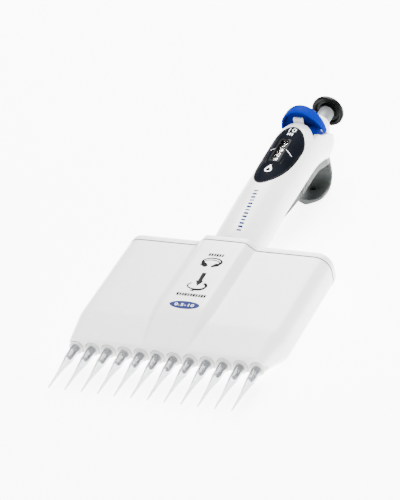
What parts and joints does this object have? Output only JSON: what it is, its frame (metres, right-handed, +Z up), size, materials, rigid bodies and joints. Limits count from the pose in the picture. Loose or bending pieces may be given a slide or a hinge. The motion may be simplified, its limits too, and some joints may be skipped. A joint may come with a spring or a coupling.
{
  "type": "multichannel pipette",
  "caption": "Handheld multichannel pipette lying on its back: wide manifold with a row of clear tips, round grip with volume counter, thumb plunger, ejector key and hooked finger rest.",
  "frame": {"origin": "centre of the bounding box at the bench, with the pipette lying on its back", "axes": "+Z up from the bench, +Y from the tips towards the plunger, X across the manifold; the pipette's own axis rises towards +Y by 6.64 degrees"},
  "size_m": [0.114, 0.2541, 0.0551],
  "materials": {
    "white_plastic": "glossy off-white moulding",
    "grey_plastic": "matte mid grey",
    "dark_plastic": "satin dark grey",
    "stem_plastic": "satin light grey",
    "blue_plastic": "semi-gloss blue",
    "navy_label": "dark navy face with a black border",
    "clear_window": "clear window",
    "clear_tip": "clear polypropylene",
    "counter_wheel": "black with white numerals",
    "cone_plastic": "natural grey engineering plastic",
    "steel": "ground stainless steel"
  },
  "bodies": {
    "handle": {"handle_shell": "white_plastic", "display_plate": "navy_label", "display_lens": "clear_window", "finger_rest": "grey_plastic", "finger_rest_screw": "steel", "top_cap": "white_plastic", "coupling_ring": "grey_plastic", "stop_ring": "cone_plastic", "counter_frame": "cone_plastic", "counter_shaft": "steel", "main_spring": "steel", "ejector_spring": "steel"},
    "dial": {"dial_sleeve": "stem_plastic"},
    "plunger": {"plunger_rod": "steel", "plunger_stem": "stem_plastic", "plunger_button": "dark_plastic"},
    "hundredths_wheel": {"counter_wheel_1": "counter_wheel"},
    "tenths_wheel": {"counter_wheel_2": "counter_wheel"},
    "ones_wheel": {"counter_wheel_3": "counter_wheel"},
    "tens_wheel": {"counter_wheel_4": "counter_wheel"},
    "ejector_key": {"ejector_key": "blue_plastic"},
    "volume_lock": {"volume_lock": "stem_plastic"},
    "manifold": {"manifold_casing": "white_plastic", "manifold_cap": "white_plastic", "cone_block": "cone_plastic", "guide_rod_left": "steel", "guide_rod_right": "steel", "cap_screw_left": "steel", "cap_screw_right": "steel", "return_spring_left": "steel", "return_spring_right": "steel", "nose_cone_01": "cone_plastic", "nose_cone_02": "cone_plastic", "nose_cone_03": "cone_plastic", "nose_cone_04": "cone_plastic", "nose_cone_05": "cone_plastic", "nose_cone_06": "cone_plastic", "nose_cone_07": "cone_plastic", "nose_cone_08": "cone_plastic", "nose_cone_09": "cone_plastic", "nose_cone_10": "cone_plastic", "nose_cone_11": "cone_plastic", "nose_cone_12": "cone_plastic"},
    "pistons": {"piston_rack": "steel"},
    "ejector": {"ejector_bar": "cone_plastic", "ejector_yoke": "cone_plastic"},
    "tips": {"tip_01": "clear_tip", "tip_02": "clear_tip", "tip_03": "clear_tip", "tip_04": "clear_tip", "tip_05": "clear_tip", "tip_06": "clear_tip", "tip_07": "clear_tip", "tip_08": "clear_tip", "tip_09": "clear_tip", "tip_10": "clear_tip", "tip_11": "clear_tip", "tip_12": "clear_tip"}
  },
  "joints": [
    {"name": "manifold_turn", "type": "hinge", "parent": "handle", "child": "manifold", "pos_m": [0, -0.00996, 0.01949], "axis": [0, 0.9933, 0.1156], "continuous": true},
    {"name": "volume_dial", "type": "hinge", "parent": "handle", "child": "dial", "pos_m": [0, 0.05113, 0.0266], "axis": [0, 0.9933, 0.1156], "range_deg": [-11400, 0]},
    {"name": "plunger_press", "type": "slide", "parent": "dial", "child": "plunger", "axis": [0, -0.9933, -0.1156], "range_m": [0, 0.012], "stiffness_N_per_m": 500, "deforming": ["main_spring"]},
    {"name": "piston_slide", "type": "slide", "parent": "manifold", "child": "pistons", "axis": [0, -0.9933, -0.1156], "range_m": [0, 0.012], "deforming": ["return_spring_left", "return_spring_right"]},
    {"name": "ejector_press", "type": "slide", "parent": "handle", "child": "ejector_key", "axis": [0, -0.9933, -0.1156], "range_m": [0, 0.005], "stiffness_N_per_m": 800, "deforming": ["ejector_spring"]},
    {"name": "ejector_slide", "type": "slide", "parent": "manifold", "child": "ejector", "axis": [0, -0.9933, -0.1156], "range_m": [0, 0.005]},
    {"name": "tip_slide", "type": "slide", "parent": "manifold", "child": "tips", "axis": [0, -0.9933, -0.1156], "range_m": [0, 0.005]},
    {"name": "lock_slide", "type": "slide", "parent": "handle", "child": "volume_lock", "axis": [1, 0, 0], "range_m": [-0.0015, 0.0015]},
    {"name": "hundredths_turn", "type": "hinge", "parent": "handle", "child": "hundredths_wheel", "pos_m": [0, 0.0529, 0.03732], "axis": [0, 0.9933, 0.1156], "range_deg": [0, 34200]},
    {"name": "tenths_turn", "type": "hinge", "parent": "handle", "child": "tenths_wheel", "pos_m": [0, 0.0529, 0.03732], "axis": [0, 0.9933, 0.1156], "range_deg": [0, 3420]},
    {"name": "ones_turn", "type": "hinge", "parent": "handle", "child": "ones_wheel", "pos_m": [0, 0.0529, 0.03732], "axis": [0, 0.9933, 0.1156], "range_deg": [0, 342]},
    {"name": "tens_turn", "type": "hinge", "parent": "handle", "child": "tens_wheel", "pos_m": [0, 0.0529, 0.03732], "axis": [0, 0.9933, 0.1156], "range_deg": [0, 34.2]}
  ],
  "couplings": [
    {"joint": "piston_slide", "follows": "plunger_press", "ratio": 1},
    {"joint": "ejector_slide", "follows": "ejector_press", "ratio": 1},
    {"joint": "tip_slide", "follows": "ejector_press", "ratio": 1},
    {"joint": "hundredths_turn", "follows": "volume_dial", "ratio": -3},
    {"joint": "tenths_turn", "follows": "volume_dial", "ratio": -0.3},
    {"joint": "ones_turn", "follows": "volume_dial", "ratio": -0.03},
    {"joint": "tens_turn", "follows": "volume_dial", "ratio": -0.003}
  ]
}
